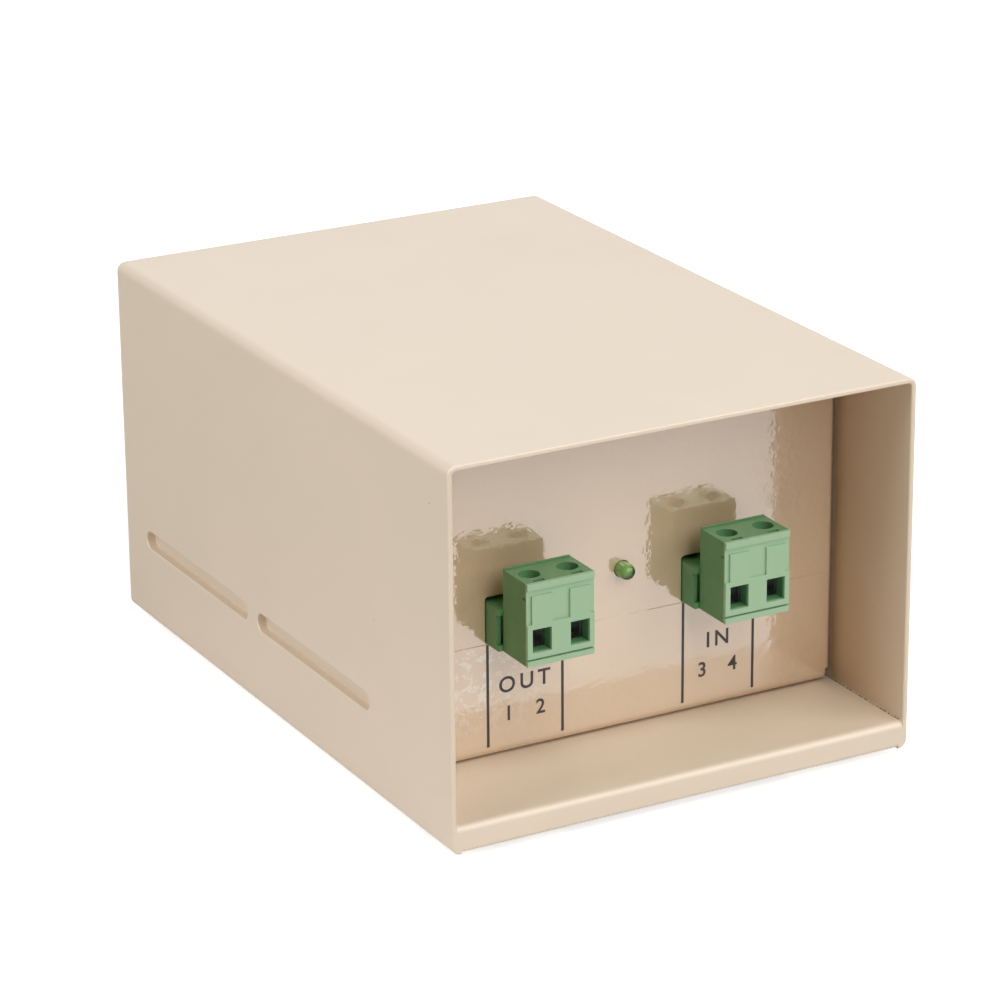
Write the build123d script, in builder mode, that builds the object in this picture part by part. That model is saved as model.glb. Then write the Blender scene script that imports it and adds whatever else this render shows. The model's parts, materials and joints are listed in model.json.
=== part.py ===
"""Mains to low-voltage power supply in a folded steel case with two pluggable terminals.

Millimetres, +Z up. The origin is on the surface that the feet stand on, at the middle of
the case. The open front faces -Y. A pressed hood and a floor pan make the case, and a
folded chassis inside it carries the front panel, the circuit board and the transformer.
"""

import os

from build123d import *

os.makedirs("parts", exist_ok=True)

# Case
case_width = 94.0
case_depth = 135.5
case_height = 71.2
sheet = 1.0
top_bend = 1.8
bottom_bend = 1.8
hood_flange = 24.0
edge_round = 0.35

# Floor pan, turned down as a lip at both ends, flush with the hood's edges
lip_height = 5.3
lip_rise = 0.3
lip_bend = 1.3
lip_end_round = 0.8
lip_seam = 0.1
wall_seam = 0.25
wall_seam_setback = 1.4

# Stop ribs pressed into both side walls
rib_front_setback = 30.8
rib_rear_setback = 9.4
rib_height = 3.6
rib_depth = 1.7
rib_wall = 0.6
rib_skin = 0.9
rib_spacing = 4.4
rib_level = 17.3
rib_mouth_round = 0.25

# Feet
foot_diameter = 20.0
foot_height = 1.5
foot_from_side = 12.5
foot_from_end = 13.6
foot_round = 0.4

# Folded chassis and rear panel
panel_setback = 22.6
rear_setback = 1.5
panel_gap = 1.0
panel_side_bend = 1.2
floor_bend = 2.2
stop_gap = 0.3
floor_gap = 0.5
floor_lift = 0.25
rear_foot_length = 14.0
bend_relief = 0.4

# Case screws and their clinch nuts
screw_diameter = 3.0
screw_hole = 3.3
screw_head_diameter = 5.6
screw_head_height = 2.0
cross_length = 2.8
cross_width = 0.5
screw_length = 5.0
thread_gap = 0.05
nut_collar_diameter = 6.0
nut_collar_height = 2.2
nut_spigot_diameter = 4.2
case_screw_x = 17.0
case_screw_from_panel = 20.0
case_screw_from_end = 6.0
rear_screw_from_end = 8.0

# Pluggable terminals
pole_pitch = 7.62
connector_x = 20.15
connector_level = 27.75
plug_width = 13.5
plug_height = 15.4
plug_depth = 8.8
plug_front_setback = 9.1
header_width = 15.24
header_height = 7.8
header_depth = 12.0
header_wall = 0.9
header_cavity_depth = 9.0
plug_to_header = 0.1
nose_gap = 0.15
nose_length = 8.0
nose_pocket_depth = 1.2
nose_pocket_length = 1.8
header_notch_depth = 0.8
header_notch_height = 5.6
cutout_side_gap = 0.2
cutout_bottom_gap = 0.1
cutout_top_gap = 0.95
cutout_top_round = 0.7
cutout_low_round = 0.3

# Plug front and top details
band_height = 1.25
pad_top_gap = 1.1
pad_width = 4.0
pad_bottom = 7.8
relief_depth = 0.35
foot_groove_level = 1.2
foot_groove_height = 0.4
foot_groove_depth = 0.6
window_width = 3.8
window_height = 4.4
window_level = 2.45
screw_well_diameter = 3.95
screw_well_from_front = 4.6
test_slot_width = 2.3
test_slot_depth = 0.9
test_slot_from_front = 1.2
test_slot_height = 1.6
plug_edge_round = 0.15
ridge_height = 0.25
ridge_thickness = 0.4
nick_level = 12.4
nick_from_front = 1.15
nick_length = 1.1
nick_height = 0.25
nick_depth = 0.3

# Rising clamp inside each pole
clamp_width = 4.3
clamp_length = 3.4
clamp_wall = 0.6
clamp_thread_wall = 1.0
clamp_gap = 0.15
clamp_travel = 3.5
clamp_floor_gap = 0.1
contact_width = 2.6
contact_thickness = 0.8
contact_clear = 0.3
contact_link = 0.6
terminal_screw = 2.5
terminal_head_diameter = 3.65
terminal_head_height = 1.3
terminal_slot_width = 0.7
terminal_slot_depth = 0.7
screw_ledge = 0.4
screw_gap = 0.1
socket_size = 2.2
socket_wall = 0.4
pin_size = 1.0
pin_reach = 7.4
pin_tail = 2.0

# Indicator lamp
led_diameter = 3.0
led_flange_diameter = 3.8
led_flange_height = 1.0
led_proud = 3.2
led_level = 36.5
led_hole = 3.3
led_seat_gap = 0.1
led_lead = 0.5
led_lead_pitch = 2.54

# Clear label on the lower half of the front panel
label_top = 27.5
label_thickness = 0.15
label_side_gap = 1.0
label_bottom_gap = 0.4

# Circuit board, its posts and screws
board_width = 76.0
board_height = 38.0
board_thickness = 1.6
board_level = 21.0
post_across_flats = 5.0
post_inset = 4.0
post_thread_depth = 5.0
board_screw_length = 6.0

# Fuse and its clips on the back of the board
fuse_from_board_end = 17.85
fuse_level = 48.0
fuse_length = 20.0
fuse_diameter = 5.0
fuse_glass_wall = 0.7
fuse_cap_length = 5.5
fuse_cap_wall = 0.1
fuse_wire_diameter = 0.3
fuse_above_board = 1.5
clip_thickness = 0.4
clip_length = 4.5
clip_opening = 3.6
clip_leg_width = 1.2

# Small parts beside the lamp
axial_x = -8.0
resistor_level = 44.0
diode_level = 50.0
axial_body_diameter = 2.4
axial_body_length = 6.3
axial_lead = 0.6
axial_span = 10.2
axial_above_board = 0.5
board_hole_gap = 0.2

# Transformer
core_width_ratio = 6
window_place_ratio = 1.5
cheek_count = 3
core_from_panel = 44.4
core_from_end = 18.5
core_to_floor = 0.3
core_to_roof = 8.35
bobbin_wall = 1.2
bobbin_gap = 0.2
bobbin_flange = 1.2
bobbin_overhang = 10.5
winding_margin = 1.3
tape_thickness = 0.4
clamp_strap = 1.2
clamp_ear = 8.6
clamp_to_wall = 3.2
clamp_hole = 4.3
stud_diameter = 4.0
stud_height = 8.0
stud_nut_flats = 7.0
stud_nut_height = 3.2
stud_inset = 4.3

# Leads between the transformer and the board
lead_diameter = 1.8
lead_core_diameter = 0.9
lead_bend = 4.0
lead_run = 7.0
pad_from_board_end = 11.7
pad_spacing = 12.3
primary_pad_level = 27.0
secondary_pad_level = 27.0
lead_exit_x = 9.0

# Levels and planes that follow from the sizes above
base_z = foot_height
front_y = -case_depth / 2
rear_y = case_depth / 2
inner_half = case_width / 2 - sheet
shelf_z = base_z + lip_height
seat_z = shelf_z + floor_lift
floor_z = seat_z + sheet
roof_z = base_z + case_height - sheet
panel_y = front_y + panel_setback
panel_back_y = panel_y + sheet
panel_half = inner_half - panel_gap
panel_top = roof_z - panel_gap
rear_panel_y = rear_y - rear_setback
header_z = base_z + connector_level
header_front_y = front_y + plug_front_setback + plug_depth + plug_to_header
board_y = header_front_y + header_depth
board_back_y = board_y + board_thickness
board_z = base_z + board_level
plug_y = front_y + plug_front_setback
plug_back_y = plug_y + plug_depth
well_y = plug_y + screw_well_from_front
header_mid_z = header_z + header_height / 2
rib_length = (case_depth - rib_front_setback - rib_rear_setback - rib_spacing) / 2
rib_front_y = front_y + rib_front_setback - rib_wall
rib_rear_y = rear_y - rib_rear_setback + rib_wall
rib_centres = [rib_front_y + rib_wall + rib_length / 2, rib_rear_y - rib_wall - rib_length / 2]
chassis_end_y = rear_panel_y - rear_foot_length - floor_gap
led_z = base_z + led_level


def upright(y):
    """Plane at depth y whose local axes are X and Z; negative extrusion runs to the rear."""
    return Plane.XZ.offset(-y)


def save(part, name):
    part.label = name
    export_step(part, f"parts/{name}.step")


def wrapped_sheet(y, inset, top_z):
    """Section of the hood's sheet below top_z, with its outer side moved in by the inset."""
    with BuildSketch(upright(y)) as section:
        with Locations((0, base_z + case_height / 2)):
            Rectangle(case_width - 2 * inset, case_height - 2 * inset)
        fillet(section.vertices().group_by(Axis.Y)[-1], top_bend - inset)
        fillet(section.vertices().group_by(Axis.Y)[0], bottom_bend - inset)
        offset(section.face(), amount=inset - sheet, mode=Mode.SUBTRACT)
        with Locations((0, base_z)):
            Rectangle(case_width - 2 * hood_flange, 2 * sheet, mode=Mode.SUBTRACT)
        with Locations((0, top_z + case_height / 2)):
            Rectangle(case_width, case_height, mode=Mode.SUBTRACT)
    return section.sketch


# Hood: one sheet folded over the top, down both sides and in under the bottom
with BuildPart() as hood:
    extrude(wrapped_sheet(front_y, 0, base_z + case_height), amount=-case_depth)
    for end_y, inward in ((front_y, -1), (rear_y, 1)):
        rim = hood.edges().filter_by_position(Axis.Y, end_y, end_y)
        fillet(rim.filter_by(lambda edge: edge.length > sheet + edge_round), edge_round)
        # Below the shelf the inner edge stays square, flush with the lip that meets it there
        extrude(wrapped_sheet(end_y, edge_round, shelf_z), amount=2 * edge_round * inward)
    with Locations(*[(0, y, base_z) for y in (front_y, rear_y)]):
        Box(case_width - 2 * bottom_bend, 2 * (sheet + lip_seam), 2 * sheet, mode=Mode.SUBTRACT)
    for side in (-1, 1):
        on_wall = (side * case_width / 2, 0, base_z + rib_level)
        wall = Plane(origin=on_wall, x_dir=(0, 1, 0), z_dir=(-side, 0, 0))
        with BuildSketch(wall.offset(sheet / 2)):
            with Locations(*[(y, 0) for y in rib_centres]):
                SlotOverall(rib_length + 2 * rib_wall, rib_height + 2 * rib_wall)
        extrude(amount=rib_depth + rib_skin - sheet / 2)
        with BuildSketch(wall):
            with Locations(*[(y, 0) for y in rib_centres]):
                SlotOverall(rib_length, rib_height)
        extrude(amount=rib_depth, mode=Mode.SUBTRACT)
        mouths = hood.edges().filter_by_position(Axis.X, side * case_width / 2, side * case_width / 2)
        fillet(mouths.filter_by(lambda edge: edge.length < rib_length), rib_mouth_round)
save(hood.part, "hood")

# Floor pan: the shelf inside the front opening, folded down at both ends
with BuildPart() as floor_pan:
    with BuildSketch(Plane.YZ) as pan_section:
        with Locations((0, (base_z + lip_rise + shelf_z) / 2)):
            Rectangle(case_depth, lip_height - lip_rise)
        fillet(pan_section.vertices().group_by(Axis.Y)[-1], lip_bend)
        offset(pan_section.face(), amount=-sheet, mode=Mode.SUBTRACT)
        with Locations((0, base_z)):
            Rectangle(case_depth - 2 * sheet, 2 * (lip_rise + sheet), mode=Mode.SUBTRACT)
        lip_ends = pan_section.vertices().group_by(Axis.Y)[0].sort_by(Axis.X)
        fillet([lip_ends[0], lip_ends[-1]], lip_end_round)
    extrude(amount=inner_half, both=True)
    with BuildSketch(upright(front_y)):
        for side in (-1, 1):
            with Locations((side * (case_width / 2 - bottom_bend / 2), base_z + bottom_bend / 2)):
                Rectangle(bottom_bend, bottom_bend)
        with Locations(*[(side * (case_width / 2 - bottom_bend), base_z + bottom_bend) for side in (-1, 1)]):
            Circle(bottom_bend - sheet, mode=Mode.SUBTRACT)
    extrude(amount=-case_depth, mode=Mode.SUBTRACT)
    # The weld ends behind the lip: from there a narrow seam runs along each wall
    with Locations(*[(side * inner_half, 0, shelf_z) for side in (-1, 1)]):
        Box(2 * wall_seam, case_depth - 2 * wall_seam_setback, 2 * lip_height, mode=Mode.SUBTRACT)
    case_screw_places = [(side * case_screw_x, y) for side in (-1, 1)
                         for y in (panel_y + case_screw_from_panel, chassis_end_y - case_screw_from_end)]
    rear_screw_places = [(side * case_screw_x, rear_panel_y - rear_screw_from_end) for side in (-1, 1)]
    with Locations(*[(x, y, shelf_z - sheet / 2) for x, y in case_screw_places + rear_screw_places]):
        Cylinder(screw_hole / 2, 2 * sheet, mode=Mode.SUBTRACT)
save(floor_pan.part, "floor_pan")

# Feet: four soft discs stuck under the corners
for end, y in (("front", front_y + foot_from_end), ("rear", rear_y - foot_from_end)):
    for side, x in (("left", -case_width / 2 + foot_from_side), ("right", case_width / 2 - foot_from_side)):
        with BuildPart() as foot:
            with Locations((x, y, foot_height / 2)):
                Cylinder(foot_diameter / 2, foot_height)
            fillet(foot.edges().group_by(Axis.Z)[0], foot_round)
        save(foot.part, f"foot_{end}_{side}")


def folded_panel(face_y, inward, floor_length, flange_length):
    """Upright panel with returned sides and a foot, all from one sheet.

    face_y is the outer face, and inward is +1 where the foot runs to the rear, -1 to the front.
    """
    height = panel_top - seat_z
    relief = floor_bend + bend_relief
    with BuildSketch(Plane.XY.offset(seat_z + relief)) as flanged:
        with Locations((0, face_y + inward * flange_length / 2)):
            Rectangle(2 * panel_half, flange_length)
        fillet(flanged.vertices().group_by(Axis.Y)[0 if inward > 0 else -1], panel_side_bend)
        with Locations((0, face_y + inward * (sheet + flange_length / 2))):
            Rectangle(2 * (panel_half - sheet), flange_length, mode=Mode.SUBTRACT)
    extrude(flanged.sketch, amount=height - relief)
    with BuildSketch(Plane.YZ) as fold:
        with Locations((face_y + inward * floor_length / 2, seat_z + height / 2)):
            Rectangle(floor_length, height)
        corner = fold.vertices().group_by(Axis.Y)[0].sort_by(Axis.X)[0 if inward > 0 else -1]
        fillet(corner, floor_bend)
        with Locations((face_y + inward * (sheet + floor_length / 2), floor_z + height / 2)):
            Rectangle(floor_length, height, mode=Mode.SUBTRACT)
    extrude(fold.sketch, amount=panel_half - panel_side_bend, both=True)


# Chassis: front panel and floor, pushed in from the front until its sides meet the ribs
header_places = [(side * connector_x, header_mid_z) for side in (-1, 1)]
cutout_height = header_height + cutout_bottom_gap + cutout_top_gap
cutout_shift = (cutout_top_gap - cutout_bottom_gap) / 2
with BuildPart() as chassis:
    folded_panel(panel_y, 1, chassis_end_y - panel_y, rib_front_y - stop_gap - panel_y)
    with BuildSketch(upright(panel_y - sheet)) as cutouts:
        with Locations(*[(x, z + cutout_shift) for x, z in header_places]):
            Rectangle(header_width + 2 * cutout_side_gap, cutout_height)
        fillet(cutouts.vertices().group_by(Axis.Y)[-1], cutout_top_round)
        fillet(cutouts.vertices().group_by(Axis.Y)[0], cutout_low_round)
        with Locations((0, led_z)):
            Circle(led_hole / 2)
    extrude(amount=-3 * sheet, mode=Mode.SUBTRACT)
    with Locations(*[(x, y, floor_z - sheet / 2) for x, y in case_screw_places]):
        Cylinder(nut_spigot_diameter / 2 + thread_gap, 2 * sheet, mode=Mode.SUBTRACT)
save(chassis.part, "chassis")

# Rear panel: plain, set just inside the rear edge and stopped by the ribs' rear ends
with BuildPart() as rear_panel:
    folded_panel(rear_panel_y, -1, rear_foot_length, rear_panel_y - rib_rear_y - stop_gap)
    with Locations(*[(x, y, floor_z - sheet / 2) for x, y in rear_screw_places]):
        Cylinder(nut_spigot_diameter / 2 + thread_gap, 2 * sheet, mode=Mode.SUBTRACT)
save(rear_panel.part, "rear_panel")

# Clinch nuts pressed into the chassis floor and the rear panel's foot
for name, places in (("chassis_nuts", case_screw_places), ("rear_panel_nuts", rear_screw_places)):
    with BuildPart() as nuts:
        with Locations(*[(x, y, floor_z + nut_collar_height / 2) for x, y in places]):
            Cylinder(nut_collar_diameter / 2, nut_collar_height)
        with Locations(*[(x, y, (shelf_z + floor_z) / 2) for x, y in places]):
            Cylinder(nut_spigot_diameter / 2, floor_z - shelf_z)
        with Locations(*[(x, y, floor_z) for x, y in places]):
            Cylinder(screw_diameter / 2, 4 * nut_collar_height, mode=Mode.SUBTRACT)
    save(nuts.part, name)

# Case screws, driven up from under the shelf
for name, places in (("chassis_screws", case_screw_places), ("rear_panel_screws", rear_screw_places)):
    head_top = shelf_z - sheet
    with BuildPart() as screws:
        with Locations(*[(x, y, head_top - screw_head_height / 2) for x, y in places]):
            Cylinder(screw_head_diameter / 2, screw_head_height)
        chamfer(screws.edges().group_by(Axis.Z)[0], screw_head_height / 4)
        with Locations(*[(x, y, head_top + screw_length / 2) for x, y in places]):
            Cylinder(screw_diameter / 2 - thread_gap, screw_length)
        with Locations(*[(x, y, head_top - screw_head_height) for x, y in places]):
            Box(cross_length, cross_width, screw_head_height, mode=Mode.SUBTRACT)
            Box(cross_width, cross_length, screw_head_height, mode=Mode.SUBTRACT)
    save(screws.part, name)

# Label: clear film over the lower half of the panel
label_bottom = seat_z + floor_bend + label_bottom_gap
label_height = base_z + label_top - label_bottom
with BuildPart() as label:
    with BuildSketch(upright(panel_y)):
        with Locations((0, label_bottom + label_height / 2)):
            Rectangle(2 * (panel_half - panel_side_bend - label_side_gap), label_height)
    extrude(amount=label_thickness)
save(label.part, "panel_label")

# Indicator lamp: domed lens with a collar behind the panel, and its two leads
flange_front = panel_back_y + led_seat_gap
dome_y = panel_y - led_proud + led_diameter / 2
with BuildPart() as led:
    with BuildSketch(Plane.YZ.offset(0)):
        with BuildLine():
            Polyline((dome_y, led_z + led_diameter / 2), (flange_front, led_z + led_diameter / 2),
                     (flange_front, led_z + led_flange_diameter / 2),
                     (flange_front + led_flange_height, led_z + led_flange_diameter / 2),
                     (flange_front + led_flange_height, led_z), (dome_y - led_diameter / 2, led_z))
            CenterArc((dome_y, led_z), led_diameter / 2, 90, 90)
        make_face()
    revolve(axis=Axis((0, 0, led_z), (0, 1, 0)))
save(led.part, "led_lens")

led_lead_start = flange_front + led_flange_height
led_lead_length = board_back_y + pin_tail - led_lead_start
led_lead_middle = led_lead_start + led_lead_length / 2
with BuildPart() as led_leads:
    with Locations(*[(side * led_lead_pitch / 2, led_lead_middle, led_z) for side in (-1, 1)]):
        Box(led_lead, led_lead_length, led_lead)
save(led_leads.part, "led_leads")

# Clamp levels, the same in every pole
window_z = header_z + window_level
contact_bottom = window_z + window_height - contact_thickness + screw_gap
contact_top = contact_bottom + contact_thickness
clamp_bottom = window_z - clamp_floor_gap - clamp_wall
clamp_top = contact_top + contact_clear + clamp_thread_wall
clamp_height = clamp_top - clamp_bottom
chamber_bottom = clamp_bottom - clamp_floor_gap
chamber_top = clamp_top + clamp_travel + screw_gap
chamber_width = clamp_width + 2 * clamp_gap
chamber_front = well_y - clamp_length / 2 - clamp_gap
chamber_back = well_y + clamp_length / 2 + contact_clear + contact_link + screw_gap
head_bottom = chamber_top + screw_ledge + screw_gap
nose_width = header_width - 2 * header_wall - 2 * nose_gap
nose_height = header_height - 2 * header_wall - 2 * nose_gap
plug_top = header_z + plug_height


def header_body(x):
    """Green shroud that the plug slides into, open at the front."""
    middle_y = header_front_y + header_depth / 2
    with Locations((x, middle_y, header_mid_z)):
        Box(header_width, header_depth, header_height)
    with Locations((x, header_front_y + header_cavity_depth / 2, header_mid_z)):
        Box(header_width - 2 * header_wall, header_cavity_depth, header_height - 2 * header_wall,
            mode=Mode.SUBTRACT)
    with Locations((x, header_front_y, header_mid_z)):
        Box(2 * header_width, 2 * header_notch_depth, header_notch_height, mode=Mode.SUBTRACT)
    with Locations(*[(x + side * pole_pitch / 2, middle_y, header_mid_z) for side in (-1, 1)]):
        Box(pin_size, 2 * header_depth, pin_size, mode=Mode.SUBTRACT)


def header_pins(x):
    start = header_front_y + header_cavity_depth - pin_reach
    length = board_back_y + pin_tail - start
    with Locations(*[(x + side * pole_pitch / 2, start + length / 2, header_mid_z) for side in (-1, 1)]):
        Box(pin_size, length, pin_size)


def plug_body(x):
    """Housing of the loose half: two wire windows in front, two screw wells on top."""
    poles = [x + side * pole_pitch / 2 for side in (-1, 1)]
    middle_y = plug_y + plug_depth / 2
    with Locations((x, middle_y, header_z + plug_height / 2)):
        block = Box(plug_width, plug_depth, plug_height)
    fillet(block.edges().filter_by(Axis.Z), plug_edge_round)
    with Locations((x, plug_back_y - ridge_thickness / 2, plug_top + ridge_height / 2)):
        Box(plug_width - 2 * plug_edge_round, ridge_thickness, ridge_height)
    with Locations((x, plug_back_y + nose_length / 2, header_mid_z)):
        Box(nose_width, nose_length, nose_height)
    # The raised pads stand in a shallow field between the top band and the window face
    field_bottom = header_z + pad_bottom
    field_top = plug_top - band_height
    pad_top = field_top - pad_top_gap
    with BuildSketch(upright(plug_y)) as field:
        with Locations((x, (field_bottom + field_top) / 2)):
            Rectangle(2 * plug_width, field_top - field_bottom)
        with Locations(*[(pole, (field_bottom + pad_top) / 2) for pole in poles]):
            Rectangle(pad_width, pad_top - field_bottom, mode=Mode.SUBTRACT)
    extrude(field.sketch, amount=-relief_depth, mode=Mode.SUBTRACT)
    with Locations((x, plug_y, header_z + foot_groove_level)):
        Box(2 * plug_width, 2 * foot_groove_depth, foot_groove_height, mode=Mode.SUBTRACT)
    with Locations(*[(x + side * plug_width / 2, plug_y + nick_from_front, header_z + nick_level)
                     for side in (-1, 1)]):
        Box(2 * nick_depth, nick_length, nick_height, mode=Mode.SUBTRACT)
    pocket_y = plug_back_y + nose_pocket_length / 2
    with Locations(*[(x + side * nose_width / 2, pocket_y, header_mid_z) for side in (-1, 1)]):
        Box(2 * nose_pocket_depth, nose_pocket_length, header_notch_height, mode=Mode.SUBTRACT)
    with BuildSketch(upright(plug_y)) as windows:
        with Locations(*[(pole, window_z + window_height / 2) for pole in poles]):
            Rectangle(window_width, window_height)
    extrude(windows.sketch, amount=-(well_y - plug_y), mode=Mode.SUBTRACT)
    chamber_length = chamber_back - chamber_front
    chamber_middle_y = (chamber_front + chamber_back) / 2
    chamber_middle_z = (chamber_bottom + chamber_top) / 2
    with Locations(*[(pole, chamber_middle_y, chamber_middle_z) for pole in poles]):
        Box(chamber_width, chamber_length, chamber_top - chamber_bottom, mode=Mode.SUBTRACT)
    with BuildSketch(Plane.XY.offset(plug_top)) as wells:
        with Locations(*[(pole, well_y) for pole in poles]):
            Circle(screw_well_diameter / 2)
    extrude(wells.sketch, amount=head_bottom - screw_gap - plug_top, mode=Mode.SUBTRACT)
    with BuildSketch(Plane.XY.offset(plug_top)) as screw_holes:
        with Locations(*[(pole, well_y) for pole in poles]):
            Circle(terminal_screw / 2 + contact_clear)
    extrude(screw_holes.sketch, amount=chamber_top - plug_top, mode=Mode.SUBTRACT)
    with BuildSketch(Plane.XY.offset(plug_top)) as test_slots:
        with Locations(*[(pole, plug_y + test_slot_from_front) for pole in poles]):
            Rectangle(test_slot_width, test_slot_depth)
    extrude(test_slots.sketch, amount=-test_slot_height, mode=Mode.SUBTRACT)
    socket_hole = socket_size + 2 * screw_gap
    with Locations(*[(pole, plug_back_y + nose_length / 2, header_mid_z) for pole in poles]):
        Box(socket_hole, 2 * (nose_length + plug_back_y - chamber_back) - nose_length, socket_hole,
            mode=Mode.SUBTRACT)


def contact(pole):
    """Bar that the wire is pressed against, with a socket that grips the header's pin."""
    bar_front = well_y - clamp_length / 2 + screw_gap
    link_front = well_y + clamp_length / 2 + contact_clear
    link_back = link_front + contact_link
    socket_back = plug_back_y + nose_length - contact_clear
    with Locations((pole, (bar_front + link_back) / 2, (contact_bottom + contact_top) / 2)):
        Box(contact_width, link_back - bar_front, contact_thickness)
    link_bottom = header_mid_z - socket_size / 2
    with Locations((pole, (link_front + link_back) / 2, (link_bottom + contact_top) / 2)):
        Box(socket_size, contact_link, contact_top - link_bottom)
    with Locations((pole, (link_front + socket_back) / 2, header_mid_z)):
        Box(socket_size, socket_back - link_front, socket_size)
    hollow = socket_size - 2 * socket_wall
    with Locations((pole, socket_back, header_mid_z)):
        Box(hollow, 2 * (socket_back - link_back), hollow, mode=Mode.SUBTRACT)


def clamp(pole):
    """Square cage round the contact bar, which the screw draws up to grip the wire."""
    with Locations((pole, well_y, (clamp_bottom + clamp_top) / 2)):
        Box(clamp_width, clamp_length, clamp_height)
    inner_bottom = clamp_bottom + clamp_wall
    inner_top = clamp_top - clamp_thread_wall
    with Locations((pole, well_y, (inner_bottom + inner_top) / 2)):
        Box(clamp_width - 2 * clamp_wall, 2 * clamp_length, inner_top - inner_bottom, mode=Mode.SUBTRACT)
    with Locations((pole, well_y, clamp_top)):
        Cylinder(terminal_screw / 2 + thread_gap, 3 * clamp_thread_wall, mode=Mode.SUBTRACT)


def terminal_screw_body(pole):
    """Slotted screw held in the housing, with its tip just above the contact bar."""
    tip = contact_top + screw_gap
    with Locations((pole, well_y, (tip + head_bottom) / 2)):
        Cylinder(terminal_screw / 2, head_bottom - tip)
    with Locations((pole, well_y, head_bottom + terminal_head_height / 2)):
        Cylinder(terminal_head_diameter / 2, terminal_head_height)
    with Locations((pole, well_y, head_bottom + terminal_head_height)):
        Box(2 * terminal_head_diameter, terminal_slot_width, 2 * terminal_slot_depth, mode=Mode.SUBTRACT)


for circuit, x in (("output", -connector_x), ("input", connector_x)):
    with BuildPart() as header:
        header_body(x)
    save(header.part, f"{circuit}_header")
    with BuildPart() as pins:
        header_pins(x)
    save(pins.part, f"{circuit}_header_pins")
    with BuildPart() as plug:
        plug_body(x)
    save(plug.part, f"{circuit}_plug")
    for hand, side in (("left", -1), ("right", 1)):
        pole = x + side * pole_pitch / 2
        with BuildPart() as bar:
            contact(pole)
        save(bar.part, f"{circuit}_contact_{hand}")
        with BuildPart() as cage:
            clamp(pole)
        save(cage.part, f"{circuit}_clamp_{hand}")
        with BuildPart() as driver:
            terminal_screw_body(pole)
        save(driver.part, f"{circuit}_screw_{hand}")

# Circuit board on four posts behind the panel
board_mid_z = board_z + board_height / 2
post_places = [(x, board_mid_z + side * (board_height / 2 - post_inset))
               for x in (post_inset - board_width / 2, board_width / 2 - post_inset) for side in (-1, 1)]
pin_places = [(x + side * pole_pitch / 2, header_mid_z)
              for x in (-connector_x, connector_x) for side in (-1, 1)]
led_places = [(side * led_lead_pitch / 2, led_z) for side in (-1, 1)]
axial_places = [(axial_x + side * axial_span / 2, base_z + level)
                for level in (resistor_level, diode_level) for side in (-1, 1)]
fuse_x = board_width / 2 - fuse_from_board_end
clip_centres = [fuse_x + side * (fuse_length - fuse_cap_length) / 2 for side in (-1, 1)]
fuse_z = base_z + fuse_level
clip_places = [(x, fuse_z) for x in clip_centres]
outer_pad_x = board_width / 2 - pad_from_board_end
inner_pad_x = outer_pad_x - pad_spacing
primary_lead_x = (inner_pad_x, outer_pad_x)
secondary_lead_x = (-outer_pad_x, -inner_pad_x)
lead_places = ([(x, base_z + primary_pad_level) for x in primary_lead_x]
               + [(x, base_z + secondary_pad_level) for x in secondary_lead_x])
with BuildPart() as board:
    with Locations((0, board_y + board_thickness / 2, board_mid_z)):
        Box(board_width, board_thickness, board_height)
    with BuildSketch(upright(board_y)):
        with Locations(*post_places):
            Circle(screw_hole / 2)
        with Locations(*pin_places):
            Rectangle(pin_size + board_hole_gap, pin_size + board_hole_gap)
        with Locations(*led_places):
            Rectangle(led_lead + board_hole_gap, led_lead + board_hole_gap)
        with Locations(*axial_places):
            Rectangle(axial_lead + board_hole_gap, axial_lead + board_hole_gap)
        with Locations(*clip_places):
            Rectangle(clip_leg_width + board_hole_gap, clip_thickness + board_hole_gap)
        with Locations(*lead_places):
            Circle((lead_core_diameter + board_hole_gap) / 2)
    extrude(amount=-board_thickness, mode=Mode.SUBTRACT)
save(board.part, "circuit_board")

with BuildPart() as posts:
    with BuildSketch(upright(panel_back_y)):
        with Locations(*post_places):
            RegularPolygon(post_across_flats / 2, 6, major_radius=False)
    extrude(amount=-(board_y - panel_back_y))
    with BuildSketch(upright(board_y)):
        with Locations(*post_places):
            Circle(screw_diameter / 2)
    extrude(amount=post_thread_depth, mode=Mode.SUBTRACT)
save(posts.part, "board_posts")

with BuildPart() as board_screws:
    with BuildSketch(upright(board_back_y)):
        with Locations(*post_places):
            Circle(screw_head_diameter / 2)
    extrude(amount=-screw_head_height)
    with BuildSketch(upright(board_back_y)):
        with Locations(*post_places):
            Circle(screw_diameter / 2 - thread_gap)
    extrude(amount=board_screw_length)
save(board_screws.part, "board_screws")

# Fuse: glass tube with end caps and a wire, gripped by two sprung clips
fuse_y = board_back_y + fuse_above_board + clip_thickness + fuse_diameter / 2 + fuse_cap_wall
cap_radius = fuse_diameter / 2 + fuse_cap_wall
across = Plane(origin=(fuse_x, fuse_y, fuse_z), x_dir=(0, 1, 0), z_dir=(1, 0, 0))
with BuildPart() as fuse_glass:
    with BuildSketch(across):
        Circle(fuse_diameter / 2)
        Circle(fuse_diameter / 2 - fuse_glass_wall, mode=Mode.SUBTRACT)
    extrude(amount=fuse_length / 2 - fuse_cap_wall, both=True)
save(fuse_glass.part, "fuse_glass")

with BuildPart() as fuse_caps:
    with BuildSketch(across):
        Circle(cap_radius)
    extrude(amount=fuse_length / 2, both=True)
    with BuildSketch(across):
        Circle(fuse_diameter / 2)
    extrude(amount=fuse_length / 2 - fuse_cap_wall, both=True, mode=Mode.SUBTRACT)
    with BuildSketch(across):
        Circle(fuse_diameter)
    extrude(amount=fuse_length / 2 - fuse_cap_length, both=True, mode=Mode.SUBTRACT)
save(fuse_caps.part, "fuse_caps")

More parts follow.
